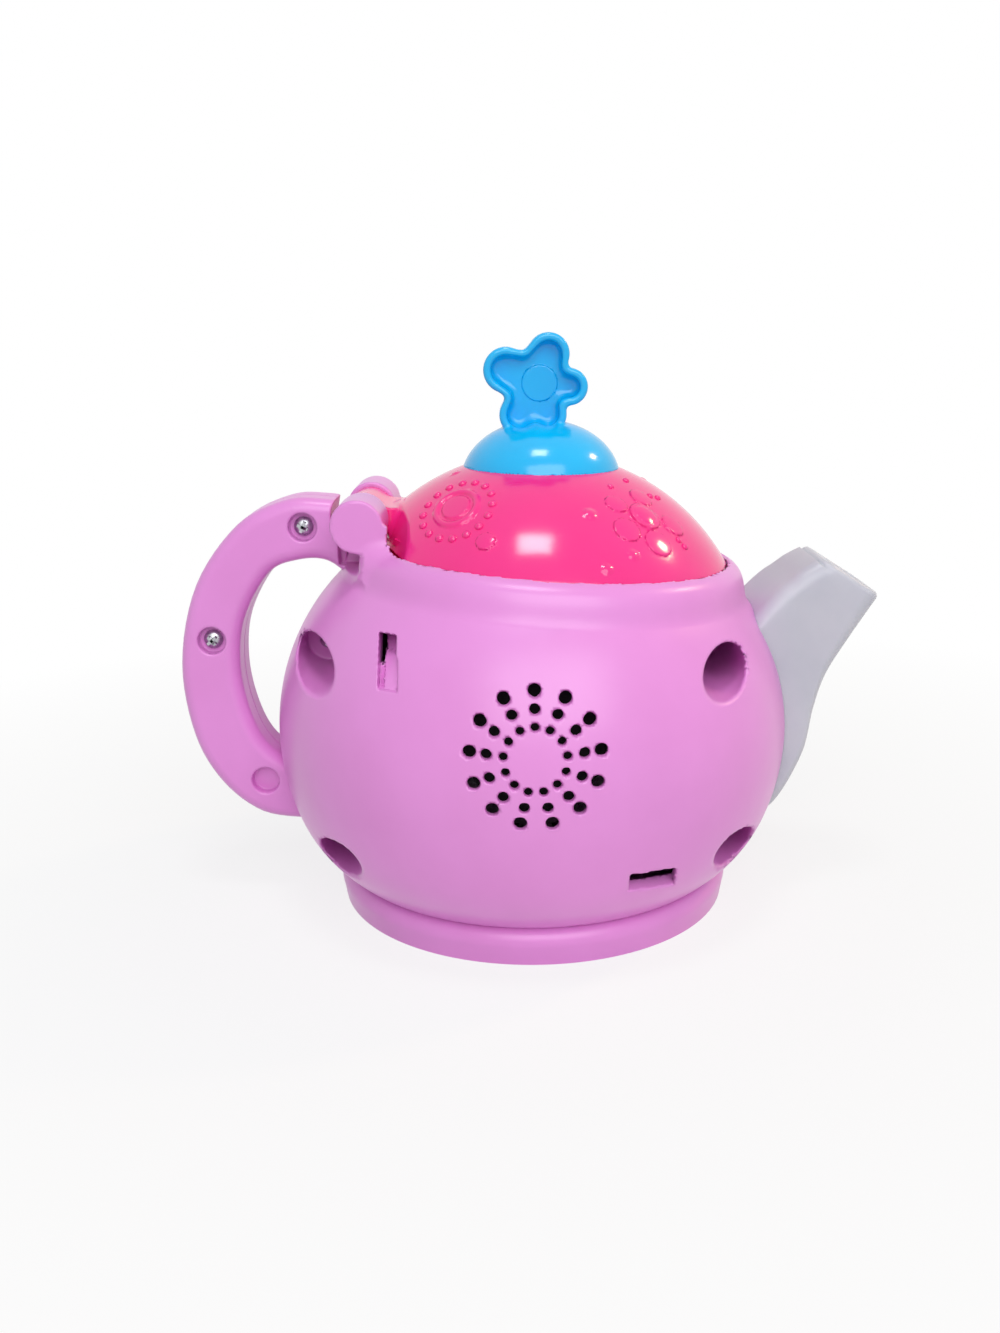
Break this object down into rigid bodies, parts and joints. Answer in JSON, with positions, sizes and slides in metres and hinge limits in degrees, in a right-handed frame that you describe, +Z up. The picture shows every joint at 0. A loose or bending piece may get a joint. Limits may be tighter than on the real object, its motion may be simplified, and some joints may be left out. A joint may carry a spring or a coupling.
{
  "type": "toy teapot",
  "caption": "Round toy teapot with a hinged domed lid, a flower knob on a blue dome, a loop handle, a light-up spout, a speaker grille, a battery base and a power switch.",
  "frame": {"origin": "centre of the foot ring's underside, on the pot's axis", "axes": "+Z up, +X towards the spout, -X towards the handle, -Y towards the side with the speaker grille"},
  "size_m": [0.1837, 0.136, 0.1498],
  "materials": {
    "pale_pink_plastic": "semi-gloss moulded ABS",
    "hot_pink_plastic": "gloss moulded ABS",
    "sky_blue_plastic": "gloss moulded ABS",
    "milky_plastic": "translucent milky polypropylene",
    "zinc_steel": "zinc plated",
    "dark_plastic": "moulded, fine grain",
    "board_laminate": "solder mask over laminate",
    "cell_jacket": "printed film on steel",
    "speaker_paper": "coated paper cone",
    "ferrite": "sintered ferrite",
    "lamp_lens": "clear epoxy",
    "red_wire": "PVC insulation",
    "yellow_wire": "PVC insulation",
    "black_wire": "PVC insulation"
  },
  "bodies": {
    "pot": {"rear_shell": "pale_pink_plastic", "front_shell": "pale_pink_plastic", "handle_rear": "pale_pink_plastic", "handle_front": "pale_pink_plastic", "base": "pale_pink_plastic", "battery_door": "pale_pink_plastic", "door_screw": "zinc_steel", "battery_cells": "cell_jacket", "battery_springs": "zinc_steel", "battery_contacts": "zinc_steel", "switch_case": "dark_plastic", "spout": "milky_plastic", "led_board": "board_laminate", "spout_lamps": "lamp_lens", "led_screws": "zinc_steel", "hinge_pin": "zinc_steel", "tea_tray": "hot_pink_plastic", "tray_screws": "zinc_steel", "body_screws": "zinc_steel", "handle_screws": "zinc_steel", "base_screws": "zinc_steel", "speaker_frame": "zinc_steel", "speaker_cone": "speaker_paper", "speaker_magnet": "ferrite", "speaker_screws": "zinc_steel", "main_board": "board_laminate", "board_parts": "dark_plastic", "board_screws": "zinc_steel", "tilt_case": "dark_plastic", "tilt_cap": "zinc_steel", "speaker_lead": "red_wire", "led_lead": "yellow_wire", "switch_lead": "black_wire"},
    "lid": {"lid": "hot_pink_plastic", "lid_liner": "hot_pink_plastic", "liner_screws": "zinc_steel", "flower_knob": "sky_blue_plastic", "knob_screws": "zinc_steel"},
    "switch": {"switch_slider": "dark_plastic"},
    "ball": {"tilt_ball": "zinc_steel"}
  },
  "joints": [
    {"name": "lid_hinge", "type": "hinge", "parent": "pot", "child": "lid", "pos_m": [-0.0423, 0, 0.104], "axis": [0, -1, 0], "range_deg": [0, 100]},
    {"name": "power_switch", "type": "slide", "parent": "pot", "child": "switch", "axis": [1, 0, 0], "range_m": [-0.003, 0.003]},
    {"name": "tilt_roll", "type": "slide", "parent": "pot", "child": "ball", "axis": [0.9903, 0, 0.1392], "range_m": [0, 0.005]}
  ]
}
